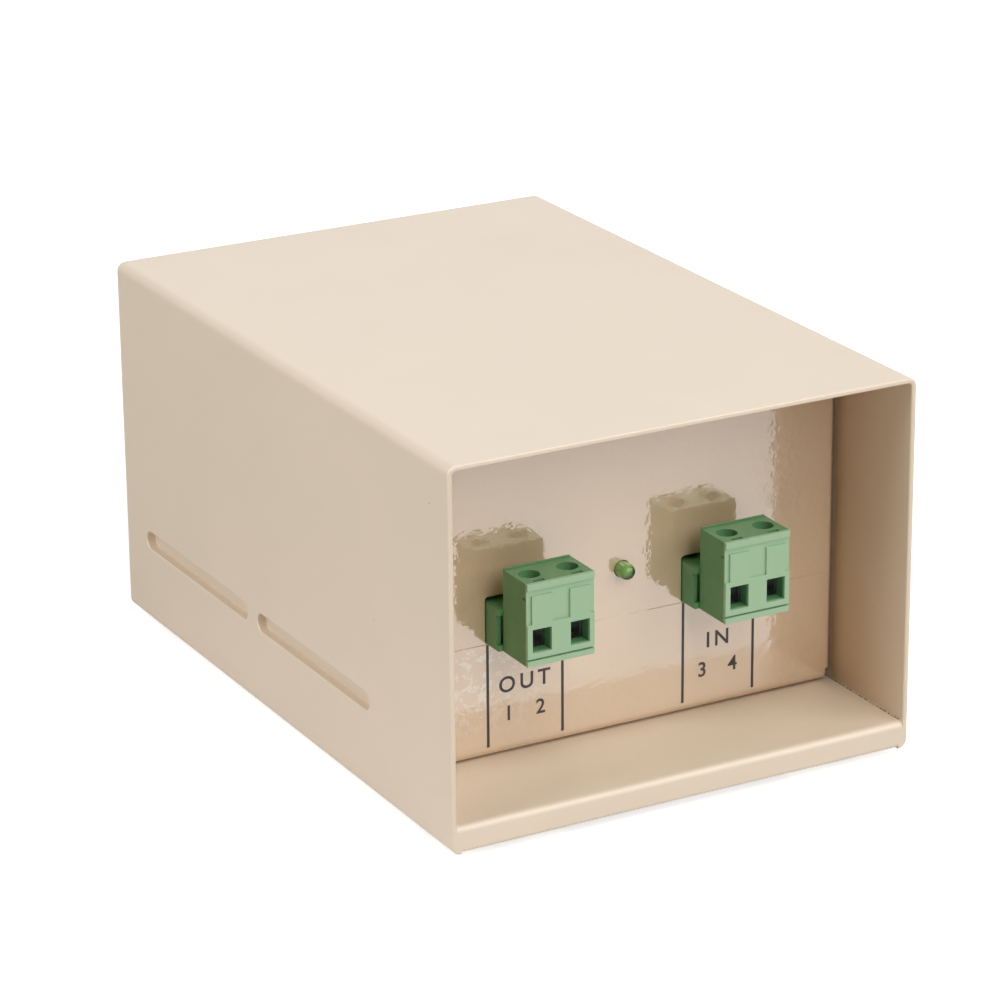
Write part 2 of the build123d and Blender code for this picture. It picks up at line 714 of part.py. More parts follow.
with BuildPart() as fuse_wire:
    with BuildSketch(across):
        Circle(fuse_wire_diameter / 2)
    extrude(amount=fuse_length / 2 - fuse_cap_wall, both=True)
save(fuse_wire.part, "fuse_wire")

with BuildPart() as clips:
    for x in clip_centres:
        ring = Plane(origin=(x, fuse_y, fuse_z), x_dir=(0, 1, 0), z_dir=(1, 0, 0))
        with BuildSketch(ring):
            Circle(cap_radius + clip_thickness)
            Circle(cap_radius, mode=Mode.SUBTRACT)
            with Locations((cap_radius, 0)):
                Rectangle(cap_radius, clip_opening, mode=Mode.SUBTRACT)
        extrude(amount=clip_length / 2, both=True)
        leg_end = board_back_y - board_thickness - pin_tail / 2
        leg_length = fuse_y - cap_radius - leg_end
        with Locations((x, leg_end + leg_length / 2, fuse_z)):
            Box(clip_leg_width, leg_length, clip_thickness)
save(clips.part, "fuse_clips")


def axial_part(level):
    """Small cylinder lying along the board on two bent wires."""
    y = board_back_y + axial_above_board + axial_body_diameter / 2
    z = base_z + level
    with BuildSketch(Plane(origin=(axial_x, y, z), x_dir=(0, 1, 0), z_dir=(1, 0, 0))) as round_end:
        Circle(axial_body_diameter / 2)
    body = extrude(round_end.sketch, amount=axial_body_length / 2, both=True)
    fillet(body.edges().filter_by(GeomType.CIRCLE), axial_body_diameter / 6)
    with Locations((axial_x, y, z)):
        Box(axial_span + axial_lead, axial_lead, axial_lead)
    leg_end = board_y - pin_tail / 2
    leg_length = y + axial_lead / 2 - leg_end
    with Locations(*[(axial_x + side * axial_span / 2, leg_end + leg_length / 2, z) for side in (-1, 1)]):
        Box(axial_lead, leg_length, axial_lead)


for name, level in (("led_resistor", resistor_level), ("led_diode", diode_level)):
    with BuildPart() as axial:
        axial_part(level)
    save(axial.part, name)

# Transformer core: stacked E and I laminations, with the coil round the middle limb
core_width = 2 * (inner_half - clamp_to_wall - clamp_ear - clamp_strap)
core_limb = core_width / core_width_ratio
core_z = floor_z + core_to_floor
core_height = roof_z - core_to_roof - core_z
window_tall = core_height - 2 * core_limb
core_stack = chassis_end_y - core_from_end - (panel_y + core_from_panel)
core_y = panel_y + core_from_panel + core_stack / 2
core_mid_z = core_z + core_height / 2
with BuildPart() as core:
    with BuildSketch(upright(core_y - core_stack / 2)):
        with Locations((0, core_mid_z)):
            Rectangle(core_width, core_height)
        with Locations(*[(side * window_place_ratio * core_limb, core_mid_z) for side in (-1, 1)]):
            Rectangle(core_limb, window_tall, mode=Mode.SUBTRACT)
    extrude(amount=-core_stack)
save(core.part, "transformer_core")

# Bobbin: square tube round the middle limb with three cheeks, one chamber for each winding
tube_half_x = core_limb + bobbin_gap + bobbin_wall
tube_half_y = core_stack / 2 + bobbin_gap + bobbin_wall
cheek_half_x = 2 * core_limb - bobbin_gap
cheek_half_y = core_stack / 2 + bobbin_overhang
bobbin_bottom = core_mid_z - window_tall / 2 + bobbin_gap
bobbin_top = core_mid_z + window_tall / 2 - bobbin_gap
chamber_pitch = (bobbin_top - bobbin_bottom - bobbin_flange) / 2
winding_height = chamber_pitch - bobbin_flange
with BuildPart() as bobbin:
    with BuildSketch(Plane.XY.offset(bobbin_bottom)):
        with Locations((0, core_y)):
            Rectangle(2 * tube_half_x, 2 * tube_half_y)
    extrude(amount=bobbin_top - bobbin_bottom)
    for step in range(cheek_count):
        with BuildSketch(Plane.XY.offset(bobbin_bottom + step * chamber_pitch)):
            with Locations((0, core_y)):
                RectangleRounded(2 * cheek_half_x, 2 * cheek_half_y, bobbin_flange)
        extrude(amount=bobbin_flange)
    with BuildSketch(Plane.XY.offset(bobbin_bottom)):
        with Locations((0, core_y)):
            Rectangle(2 * (core_limb + bobbin_gap), 2 * (core_stack / 2 + bobbin_gap))
    extrude(amount=bobbin_top - bobbin_bottom, mode=Mode.SUBTRACT)
save(bobbin.part, "coil_bobbin")

wound_x = cheek_half_x - winding_margin
wound_y = cheek_half_y - winding_margin
wound_round = 2 * winding_margin
for name, step in (("primary", 0), ("secondary", 1)):
    bottom = bobbin_bottom + bobbin_flange + step * chamber_pitch
    with BuildPart() as winding:
        with BuildSketch(Plane.XY.offset(bottom)):
            with Locations((0, core_y)):
                RectangleRounded(2 * (wound_x - tape_thickness), 2 * (wound_y - tape_thickness), wound_round)
                Rectangle(2 * tube_half_x, 2 * tube_half_y, mode=Mode.SUBTRACT)
        extrude(amount=winding_height)
    save(winding.part, f"{name}_winding")
    with BuildPart() as tape:
        with BuildSketch(Plane.XY.offset(bottom)):
            with Locations((0, core_y)):
                RectangleRounded(2 * wound_x, 2 * wound_y, wound_round + tape_thickness)
                RectangleRounded(2 * (wound_x - tape_thickness), 2 * (wound_y - tape_thickness), wound_round,
                                 mode=Mode.SUBTRACT)
        extrude(amount=winding_height)
    save(tape.part, f"{name}_tape")

# Clamp strap: folded over the core, with an ear on the floor at each side
strap_half = core_width / 2 + clamp_strap
strap_top = core_z + core_height + clamp_strap
ear_half = strap_half + clamp_ear
stud_places = [(side * (ear_half - stud_inset), core_y) for side in (-1, 1)]
with BuildPart() as strap:
    with BuildSketch(upright(core_y - core_stack / 2)) as strap_section:
        with Locations((0, (floor_z + strap_top) / 2)):
            Rectangle(2 * strap_half, strap_top - floor_z)
        fillet(strap_section.vertices().group_by(Axis.Y)[-1], clamp_strap)
        with Locations((0, (floor_z + strap_top) / 2 - clamp_strap)):
            Rectangle(core_width, strap_top - floor_z, mode=Mode.SUBTRACT)
        with Locations(*[(side * (strap_half + clamp_ear / 2 - clamp_strap / 2), floor_z + clamp_strap / 2)
                         for side in (-1, 1)]):
            Rectangle(clamp_ear + clamp_strap, clamp_strap)
    extrude(amount=-core_stack)
    with Locations(*[(x, y, floor_z) for x, y in stud_places]):
        Cylinder(clamp_hole / 2, 4 * clamp_strap, mode=Mode.SUBTRACT)
save(strap.part, "core_clamp")

with BuildPart() as studs:
    with Locations(*[(x, y, floor_z + stud_height / 2) for x, y in stud_places]):
        Cylinder(stud_diameter / 2 - thread_gap, stud_height)
save(studs.part, "transformer_studs")

with BuildPart() as stud_nuts:
    with BuildSketch(Plane.XY.offset(floor_z + clamp_strap)):
        with Locations(*stud_places):
            RegularPolygon(stud_nut_flats / 2, 6, major_radius=False)
            Circle(stud_diameter / 2, mode=Mode.SUBTRACT)
    extrude(amount=stud_nut_height)
save(stud_nuts.part, "transformer_nuts")

# Four insulated leads from the coil's front to the back of the board
coil_front = core_y - wound_y


def lead(start_x, start_z, end_x, end_z):
    run_start = coil_front - lead_run
    run_end = board_back_y + lead_run
    path_points = [(start_x, coil_front, start_z), (start_x, run_start, start_z),
                   (end_x, run_end, end_z), (end_x, board_back_y, end_z)]
    with BuildLine() as route:
        FilletPolyline(*path_points, radius=lead_bend)
    with BuildSketch(Plane(origin=path_points[0], z_dir=(0, -1, 0))) as section:
        Circle(lead_diameter / 2)
    sweep(section.sketch, path=route.line)
    with BuildSketch(upright(board_back_y)) as core_end:
        with Locations((end_x, end_z)):
            Circle(lead_core_diameter / 2)
    extrude(core_end.sketch, amount=board_thickness + pin_tail / 2)


lead_z = {name: bobbin_bottom + bobbin_flange + step * chamber_pitch + winding_height / 2
          for name, step in (("primary", 0), ("secondary", 1))}
for circuit, ends, level, exit_side in (("primary", primary_lead_x, primary_pad_level, 1),
                                        ("secondary", secondary_lead_x, secondary_pad_level, -1)):
    for hand, end_x in zip(("left", "right"), ends):
        order = 1 if hand == "right" else 0
        start_x = exit_side * lead_exit_x / 2 + (order - 0.5) * lead_exit_x / 2
        with BuildPart() as wire:
            lead(start_x, lead_z[circuit], end_x, base_z + level)
        save(wire.part, f"{circuit}_lead_{hand}")
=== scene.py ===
"""Looks of a small mains power supply: painted steel case, two green screw terminals, one lamp."""
import json
import math
import random

import bpy
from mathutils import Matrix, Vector


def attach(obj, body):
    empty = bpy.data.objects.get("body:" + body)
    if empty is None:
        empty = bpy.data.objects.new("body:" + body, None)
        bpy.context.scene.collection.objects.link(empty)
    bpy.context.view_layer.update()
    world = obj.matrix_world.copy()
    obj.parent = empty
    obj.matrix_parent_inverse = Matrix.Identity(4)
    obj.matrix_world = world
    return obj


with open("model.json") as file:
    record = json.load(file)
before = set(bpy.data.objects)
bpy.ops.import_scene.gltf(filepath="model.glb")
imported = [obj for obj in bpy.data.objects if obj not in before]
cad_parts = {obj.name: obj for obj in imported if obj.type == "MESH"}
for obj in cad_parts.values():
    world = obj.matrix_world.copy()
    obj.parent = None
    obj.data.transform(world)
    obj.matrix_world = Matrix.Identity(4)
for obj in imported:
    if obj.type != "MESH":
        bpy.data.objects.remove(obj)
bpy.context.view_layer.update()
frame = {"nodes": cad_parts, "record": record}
nodes = frame["nodes"]
MM = 0.001


def hex_colour(code):
    """Linear RGBA of an sRGB hex colour such as '#EADFD0'."""
    channels = [int(code[i:i + 2], 16) / 255 for i in (1, 3, 5)]
    linear = [c / 12.92 if c <= 0.04045 else ((c + 0.055) / 1.055) ** 2.4 for c in channels]
    return (*linear, 1.0)


def add_node(tree, kind, links=None, **settings):
    """Add one shader node, set its plain settings, then its inputs from values, nodes or sockets."""
    node = tree.nodes.new(kind)
    for name, value in settings.items():
        setattr(node, name, value)
    for socket, source in (links or {}).items():
        target = node.inputs[socket]
        if isinstance(source, bpy.types.Node):
            source = source.outputs[0]
        if isinstance(source, bpy.types.NodeSocket):
            tree.links.new(source, target)
        else:
            target.default_value = source
    return node


# Camera, solved from the straight edges of the box in the photograph

CAMERA_PLACE = (-0.345588, -0.631751, 0.302367)
CAMERA_TURN_DEG = (69.745, 0.472, -28.853)
CAMERA_LENS_MM = 147.1
SENSOR_MM = 36.0

scene = bpy.context.scene
scene.view_settings.view_transform = "Standard"
bpy.ops.object.select_all(action="DESELECT")

bpy.ops.object.camera_add(location=CAMERA_PLACE, rotation=[math.radians(a) for a in CAMERA_TURN_DEG])
camera = bpy.context.object
camera.name = "photo_camera"
camera.data.sensor_width = SENSOR_MM
camera.data.lens = CAMERA_LENS_MM
camera.data.clip_start = 0.01
camera.data.clip_end = 50.0
scene.camera = camera

# Floor: a white board that the lamps light, and white to the camera itself

FLOOR_SIZE = 12.0
FLOOR_COLOUR = "#E6E4E1"
FLOOR_GLOW = 0.68
# What the enamel mirrors: a painted pool of light on the board before the box, fading to the plain lit board
POOL_CENTRE = (0.03, -0.1, 0.0)
POOL_NEAR, POOL_FAR = 0.04, 0.24
POOL_SHARE = 0.66


def white_where_seen(name, base_code, glow_strength):
    """Plain surface lit by the lamps that also shows white to the camera and through glass.

    In gloss it is white close before the box only, and falls off to the lit board round about.
    """
    material = bpy.data.materials.new(name)
    material.use_nodes = True
    tree = material.node_tree
    tree.nodes.clear()
    path = add_node(tree, "ShaderNodeLightPath")
    place = add_node(tree, "ShaderNodeTexCoord").outputs["Object"]
    away = add_node(tree, "ShaderNodeVectorMath", {0: place, 1: POOL_CENTRE}, operation="DISTANCE")
    pool = add_node(tree, "ShaderNodeMapRange",
                    {"Value": away.outputs["Value"], "From Min": POOL_NEAR, "From Max": POOL_FAR,
                     "To Min": POOL_SHARE, "To Max": 0.0}, interpolation_type="SMOOTHSTEP")
    gloss = add_node(tree, "ShaderNodeMath", {0: path.outputs["Is Glossy Ray"], 1: pool},
                     operation="MULTIPLY")
    seen = add_node(tree, "ShaderNodeMath", {0: path.outputs["Is Camera Ray"], 1: gloss},
                    operation="MAXIMUM")
    seen = add_node(tree, "ShaderNodeMath", {0: seen, 1: path.outputs["Is Transmission Ray"]},
                    operation="MAXIMUM")
    strength = add_node(tree, "ShaderNodeMath", {0: seen, 1: glow_strength}, operation="MULTIPLY")
    glow = add_node(tree, "ShaderNodeEmission", {"Color": (1, 1, 1, 1), "Strength": strength})
    plain = add_node(tree, "ShaderNodeBsdfDiffuse", {"Color": hex_colour(base_code)})
    both = add_node(tree, "ShaderNodeAddShader", {0: plain, 1: glow})
    add_node(tree, "ShaderNodeOutputMaterial", {"Surface": both})
    return material


bpy.ops.mesh.primitive_plane_add(size=FLOOR_SIZE, location=(0, 0, 0))
floor = bpy.context.object
floor.name = "studio_floor"
floor.data.materials.append(white_where_seen("matt_white_board", FLOOR_COLOUR, FLOOR_GLOW))

# World: white where it is seen or mirrored, nearly dark as a light, so that the lamps do the lighting

SKY_AS_LIGHT = 0.02
SKY_AS_SEEN = 1.0

world = bpy.data.worlds.new("white_studio")
world.use_nodes = True
scene.world = world
sky = world.node_tree
sky.nodes.clear()
sky_path = add_node(sky, "ShaderNodeLightPath")
sky_seen = add_node(sky, "ShaderNodeMath", {0: sky_path.outputs["Is Camera Ray"],
                                            1: sky_path.outputs["Is Glossy Ray"]}, operation="MAXIMUM")
sky_seen = add_node(sky, "ShaderNodeMath", {0: sky_seen, 1: sky_path.outputs["Is Transmission Ray"]},
                    operation="MAXIMUM")
sky_level = add_node(sky, "ShaderNodeMapRange", {"Value": sky_seen, "To Min": SKY_AS_LIGHT,
                                                 "To Max": SKY_AS_SEEN})
sky_light = add_node(sky, "ShaderNodeBackground", {"Color": (1, 1, 1, 1), "Strength": sky_level})
add_node(sky, "ShaderNodeOutputWorld", {"Surface": sky_light})

# Lamps


def soft_box(name, place, aim, width, height, watts):
    """Rectangular studio lamp aimed at a point."""
    bpy.ops.object.light_add(type="AREA", location=place)
    lamp = bpy.context.object
    lamp.name = name
    lamp.data.shape = "RECTANGLE"
    lamp.data.size = width
    lamp.data.size_y = height
    lamp.data.energy = watts
    lamp.rotation_euler = (Vector(aim) - Vector(place)).to_track_quat("-Z", "Y").to_euler()


BOX_MIDDLE = (0, 0, 0.04)
BOX_TOP = (0, 0, 0.07)
soft_box("right_soft_box", (0.8, -0.85, 0.75), BOX_MIDDLE, 0.7, 1.1, 6.8)
soft_box("high_soft_box", (0.0, -0.9, 1.0), BOX_MIDDLE, 0.5, 1.4, 9.4)
soft_box("left_soft_box", (-1.05, 0.0, 0.8), BOX_MIDDLE, 0.6, 1.2, 9.6)
soft_box("rear_soft_box", (0.55, 1.05, 0.55), BOX_TOP, 1.3, 0.7, 2.4)

# Materials: every pattern is sized in millimetres


def find_shader(tree):
    """The tree's Principled shader."""
    return next(n for n in tree.nodes if n.type == "BSDF_PRINCIPLED")


def blank_material(name):
    """New material with only a Principled shader; returns material, tree, shader."""
    material = bpy.data.materials.new(name)
    material.use_nodes = True
    tree = material.node_tree
    return material, tree, find_shader(tree)


def object_mm(tree, stretch=(1, 1, 1)):
    """Object coordinates in millimetres, stretched where a pattern runs along one way."""
    place = add_node(tree, "ShaderNodeTexCoord")
    return add_node(tree, "ShaderNodeMapping", {"Vector": place.outputs["Object"],
                                                "Scale": [s / MM for s in stretch]})


def shift_colour(tree, code, tones, pattern):
    """Colour that wanders about a hex colour, from darker to lighter, with a pattern from 0 to 1."""
    darker, lighter = tones
    ramp = add_node(tree, "ShaderNodeValToRGB", {"Fac": pattern})
    base = hex_colour(code)
    ramp.color_ramp.elements[0].position = 0.3
    ramp.color_ramp.elements[1].position = 0.7
    ramp.color_ramp.elements[0].color = (*[c * darker for c in base[:3]], 1)
    ramp.color_ramp.elements[1].color = (*[min(1, c * lighter) for c in base[:3]], 1)
    return ramp.outputs["Color"]


# Where the label's film lifts: fully at its left end and fading to the right, and not at its foot
LIFTED_X_MM, STUCK_X_MM = -30.0, -14.0
STUCK_Z_MM, LIFTED_Z_MM = 11.0, 19.0
LIFTED_GRAIN_MM = 1.8
LIFTED_EDGE = (0.52, 0.57)
LIFTED_STRENGTH = 0.75


def trapped_air(tree, place, colour, code):
    """Pale ragged patches where a film hasn't stuck down, at its left-hand end."""
    where = add_node(tree, "ShaderNodeSeparateXYZ", {0: place})
    near = add_node(tree, "ShaderNodeMapRange", {"Value": where.outputs["X"], "From Min": LIFTED_X_MM,
                                                 "From Max": STUCK_X_MM, "To Min": 1.0, "To Max": 0.0})
    high = add_node(tree, "ShaderNodeMapRange", {"Value": where.outputs["Z"], "From Min": STUCK_Z_MM,
                                                 "From Max": LIFTED_Z_MM, "To Min": 0.0, "To Max": 1.0})
    share = add_node(tree, "ShaderNodeMath", {0: near, 1: high}, operation="MULTIPLY")
    ragged = add_node(tree, "ShaderNodeTexNoise", {"Vector": place, "Scale": 1 / LIFTED_GRAIN_MM,
                                                   "Detail": 5.0, "Roughness": 0.65})
    patch = add_node(tree, "ShaderNodeMapRange", {"Value": ragged.outputs["Fac"],
                                                  "From Min": LIFTED_EDGE[0], "From Max": LIFTED_EDGE[1],
                                                  "To Min": 0.0, "To Max": LIFTED_STRENGTH})
    seen = add_node(tree, "ShaderNodeMath", {0: patch, 1: share}, operation="MULTIPLY")
    return add_node(tree, "ShaderNodeMix", {"Factor": seen, 6: colour, 7: hex_colour(code)},
                    data_type="RGBA").outputs[2]


def specks(tree, place, colour, spacing_mm, size_mm, code):
    """Sparse specks of dust baked into the paint, laid over a colour and drawn coarse enough to show."""
    cells = add_node(tree, "ShaderNodeTexVoronoi", {"Vector": place, "Scale": 1 / spacing_mm})
    dot = add_node(tree, "ShaderNodeMath", {0: cells.outputs["Distance"], 1: size_mm / spacing_mm},
                   operation="LESS_THAN")
    chosen = add_node(tree, "ShaderNodeSeparateColor", {0: cells.outputs["Color"]})
    rare = add_node(tree, "ShaderNodeMath", {0: chosen, 1: DUST_SHARE}, operation="LESS_THAN")
    both = add_node(tree, "ShaderNodeMath", {0: dot, 1: rare}, operation="MULTIPLY")
    return add_node(tree, "ShaderNodeMix", {"Factor": both, 6: colour, 7: hex_colour(code)},
                    data_type="RGBA").outputs[2]


# The recess where shade is painted: inside the walls, between pan and roof, in front of the panel's side
# flanges
RECESS_HALF_WIDTH_MM = 46.5
RECESS_MIDDLE_LEVEL_MM = 39.5
RECESS_HALF_HEIGHT_MM = 32.4
RECESS_REAR_Y_MM = -44.0
RECESS_MOUTH_Y_MM, RECESS_DEEP_Y_MM = -67.5, -50.0
RECESS_MOUTH_SHARE = 0.2


def painted_recess_shade(tree, place, colour, code):
    """Painted shade on the walls inside the open front, deepening from the mouth towards the panel."""
    where = add_node(tree, "ShaderNodeSeparateXYZ", {0: place})
    across = add_node(tree, "ShaderNodeMath", {0: where.outputs["X"]}, operation="ABSOLUTE")
    wall = add_node(tree, "ShaderNodeMath", {0: across, 1: RECESS_HALF_WIDTH_MM}, operation="LESS_THAN")
    from_middle = add_node(tree, "ShaderNodeMath", {0: where.outputs["Z"], 1: RECESS_MIDDLE_LEVEL_MM},
                           operation="SUBTRACT")
    level = add_node(tree, "ShaderNodeMath", {0: from_middle}, operation="ABSOLUTE")
    above = add_node(tree, "ShaderNodeMath", {0: level, 1: RECESS_HALF_HEIGHT_MM}, operation="LESS_THAN")
    deep = add_node(tree, "ShaderNodeMapRange",
                    {"Value": where.outputs["Y"], "From Min": RECESS_MOUTH_Y_MM,
                     "From Max": RECESS_DEEP_Y_MM, "To Min": RECESS_MOUTH_SHARE, "To Max": 1.0})
    recess = add_node(tree, "ShaderNodeMath", {0: where.outputs["Y"], 1: RECESS_REAR_Y_MM},
                      operation="LESS_THAN")
    inside = add_node(tree, "ShaderNodeMath", {0: wall, 1: above}, operation="MULTIPLY")
    inside = add_node(tree, "ShaderNodeMath", {0: inside, 1: recess}, operation="MULTIPLY")
    share = add_node(tree, "ShaderNodeMath", {0: inside, 1: deep}, operation="MULTIPLY")
    return add_node(tree, "ShaderNodeMix", {"Factor": share, 6: colour, 7: hex_colour(code)},
                    data_type="RGBA").outputs[2]


PAINT_TONES = (0.985, 1.015)
TONE_PATCH_MM = 26.0
GLOSS_PATCH_MM = 9.0
DUST_COLOUR = "#8C7A64"
DUST_SPACING_MM = 8.0
DUST_SIZE_MM = 0.13
DUST_SHARE = 0.45
LIFTED_FILM_COLOUR = "#E4D6C4"
COAT_ROUGHNESS = 0.03
ROUGHNESS_SPREAD = 0.04


def powder_coat(name, code, roughness, peel_mm, peel_height_mm, ior, coat_ior=None,
                blisters=False, recess_shade_code=None):
    """Baked polyester powder coat on steel: even colour and the fine skin of an orange."""
    material, tree, shader = blank_material(name)
    place = object_mm(tree)
    tone = add_node(tree, "ShaderNodeTexNoise", {"Vector": place, "Scale": 1 / TONE_PATCH_MM, "Detail": 3.0})
    peel = add_node(tree, "ShaderNodeTexNoise", {"Vector": place, "Scale": 1 / peel_mm, "Detail": 2.0,
                                                 "Roughness": 0.6})
    gloss = add_node(tree, "ShaderNodeTexNoise", {"Vector": place, "Scale": 1 / GLOSS_PATCH_MM,
                                                  "Detail": 4.0})
    colour = shift_colour(tree, code, PAINT_TONES, tone.outputs["Fac"])
    colour = specks(tree, place, colour, DUST_SPACING_MM, DUST_SIZE_MM, DUST_COLOUR)
    # Painted shade inside the open front of the case, deepening towards the panel
    if recess_shade_code:
        colour = painted_recess_shade(tree, place, colour, recess_shade_code)
    if blisters:
        colour = trapped_air(tree, place, colour, LIFTED_FILM_COLOUR)
    tree.links.new(colour, shader.inputs["Base Color"])
    spread = add_node(tree, "ShaderNodeMapRange", {"Value": gloss.outputs["Fac"],
                                                   "To Min": roughness - ROUGHNESS_SPREAD,
                                                   "To Max": roughness + ROUGHNESS_SPREAD})
    tree.links.new(spread.outputs[0], shader.inputs["Roughness"])
    skin = add_node(tree, "ShaderNodeBump", {"Height": peel.outputs["Fac"], "Strength": 1.0,
                                             "Distance": peel_height_mm * MM})
    tree.links.new(skin.outputs[0], shader.inputs["Normal"])
    shader.inputs["IOR"].default_value = ior
    if coat_ior:
        shader.inputs["Coat Weight"].default_value = 1.0
        shader.inputs["Coat IOR"].default_value = coat_ior
        shader.inputs["Coat Roughness"].default_value = COAT_ROUGHNESS
        tree.links.new(skin.outputs[0], shader.inputs["Coat Normal"])
    return material


PLASTIC_TONES = (0.95, 1.05)
PLASTIC_PATCH_MM = 3.0
PLASTIC_IOR = 1.5


def moulded_plastic(name, code, roughness, grain_mm=0.25, grain_height_mm=0.004):
    """Injection-moulded plastic with a faint spark-eroded grain, drawn coarser than life so that it shows."""
    material, tree, shader = blank_material(name)
    place = object_mm(tree)
    tone = add_node(tree, "ShaderNodeTexNoise", {"Vector": place, "Scale": 1 / PLASTIC_PATCH_MM,
                                                 "Detail": 4.0})
    grain = add_node(tree, "ShaderNodeTexNoise", {"Vector": place, "Scale": 1 / grain_mm, "Detail": 2.0})
    tree.links.new(shift_colour(tree, code, PLASTIC_TONES, tone.outputs["Fac"]), shader.inputs["Base Color"])
    shader.inputs["Roughness"].default_value = roughness
    shader.inputs["IOR"].default_value = PLASTIC_IOR
    skin = add_node(tree, "ShaderNodeBump", {"Height": grain.outputs["Fac"], "Strength": 1.0,
                                             "Distance": grain_height_mm * MM})
    tree.links.new(skin.outputs[0], shader.inputs["Normal"])
    return material


# Depth behind a plug's front over which the painted sheen on its face gives way to the body's own colour
SHEEN_FROM_MM, SHEEN_TO_MM = 0.5, 0.8


def plastic_with_painted_sheen(name, code, sheen_code, roughness, front_y):
    """Moulded plastic with a paler painted sheen on its face to the room; the rest keeps its depth."""
    material = moulded_plastic(name, code, roughness)
    tree = material.node_tree
    shader = find_shader(tree)
    body_colour = shader.inputs["Base Color"].links[0].from_socket
    where = add_node(tree, "ShaderNodeSeparateXYZ", {0: object_mm(tree)})
    # Painted sheen: a paler colour on the plug's front skin only
    share = add_node(tree, "ShaderNodeMapRange",
                     {"Value": where.outputs["Y"], "From Min": front_y + SHEEN_FROM_MM,
                      "From Max": front_y + SHEEN_TO_MM, "To Min": 1.0, "To Max": 0.0})
    tint = add_node(tree, "ShaderNodeMix", {"Factor": share, 6: body_colour, 7: hex_colour(sheen_code)},
                    data_type="RGBA")
    tree.links.new(tint.outputs[2], shader.inputs["Base Color"])
    return material


# Way through the lamp along which painted light on the resin gives way to painted shade: right and down
LIT_TO_SHADED_WAY = (0.7, -0.12, -0.7)
EPOXY_IOR = 1.55
SEE_THROUGH_SHARE = 0.35


def clear_resin(name, lit_code, shaded_code, roughness, centre_mm, across_mm):
    """Cast see-through resin, polished by its mould, with painted light on one side and painted shade across
    from it.
    """
    material, tree, shader = blank_material(name)
    place = object_mm(tree)
    off = add_node(tree, "ShaderNodeVectorMath", {0: place, 1: centre_mm}, operation="SUBTRACT")
    along = add_node(tree, "ShaderNodeVectorMath", {0: off, 1: LIT_TO_SHADED_WAY}, operation="DOT_PRODUCT")
    share = add_node(tree, "ShaderNodeMapRange",
                     {"Value": along.outputs["Value"], "From Min": -across_mm, "From Max": across_mm,
                      "To Min": 0.0, "To Max": 1.0}, interpolation_type="SMOOTHSTEP")
    # Painted light on the upper left of the resin, painted shade on its lower right
    tint = add_node(tree, "ShaderNodeMix", {"Factor": share, 6: hex_colour(lit_code),
                                            7: hex_colour(shaded_code)}, data_type="RGBA")
    tree.links.new(tint.outputs[2], shader.inputs["Base Color"])
    shader.inputs["Roughness"].default_value = roughness
    shader.inputs["IOR"].default_value = EPOXY_IOR
    shader.inputs["Transmission Weight"].default_value = SEE_THROUGH_SHARE
    return material


METAL_TONES = (0.9, 1.05)
DRAWN_LINE_MM = 0.15
DRAWN_STRETCH = (1, 1, 0.06)
DULL_PATCH_MM = 2.0
DRAWN_SPREAD = 0.08


def plated_metal(name, code, roughness):
    """Thin bright plating with dull patches and fine drawn scratches, coarser than life so that they show."""
    material, tree, shader = blank_material(name)
    place = object_mm(tree)
    drawn = object_mm(tree, DRAWN_STRETCH)
    lines = add_node(tree, "ShaderNodeTexNoise", {"Vector": drawn, "Scale": 1 / DRAWN_LINE_MM,
                                                  "Detail": 2.0})
    patches = add_node(tree, "ShaderNodeTexNoise", {"Vector": place, "Scale": 1 / DULL_PATCH_MM,
                                                    "Detail": 3.0})
    tree.links.new(shift_colour(tree, code, METAL_TONES, patches.outputs["Fac"]), shader.inputs["Base Color"])
    spread = add_node(tree, "ShaderNodeMapRange", {"Value": lines.outputs["Fac"],
                                                   "To Min": roughness - DRAWN_SPREAD,
                                                   "To Max": roughness + DRAWN_SPREAD})
    tree.links.new(spread.outputs[0], shader.inputs["Roughness"])
    shader.inputs["Metallic"].default_value = 1.0
    return material


def striped_metal(name, code, groove_code, axis, pitch_mm, width, roughness):
    """Stacked sheets or wound wire: thin dark grooves between even bands, counted along one axis."""
    material, tree, shader = blank_material(name)
    place = object_mm(tree)
    along = add_node(tree, "ShaderNodeSeparateXYZ", {0: place}).outputs[axis]
    turn = add_node(tree, "ShaderNodeMath", {0: along, 1: pitch_mm}, operation="PINGPONG")
    groove = add_node(tree, "ShaderNodeMath", {0: turn, 1: pitch_mm * width}, operation="LESS_THAN")
    mixed = add_node(tree, "ShaderNodeMix", {"Factor": groove, 6: hex_colour(code),
                                             7: hex_colour(groove_code)}, data_type="RGBA")
    tree.links.new(mixed.outputs[2], shader.inputs["Base Color"])
    shader.inputs["Roughness"].default_value = roughness
    shader.inputs["Metallic"].default_value = 1.0
    return material


plug_front = min(corner[1] for corner in nodes["output_plug"].bound_box) / MM
lens_corners = nodes["led_lens"].bound_box
lens_middle = [sum(corner[axis] for corner in lens_corners) / len(lens_corners) / MM for axis in range(3)]

PANEL_COLOUR = "#D4B694"
ENAMEL_IOR = 1.5
# Strongly mirroring top coat, in which the panel shows the white floor and the plugs again
MIRROR_COAT_IOR = 2.65
LENS_REACH_MM = 0.9

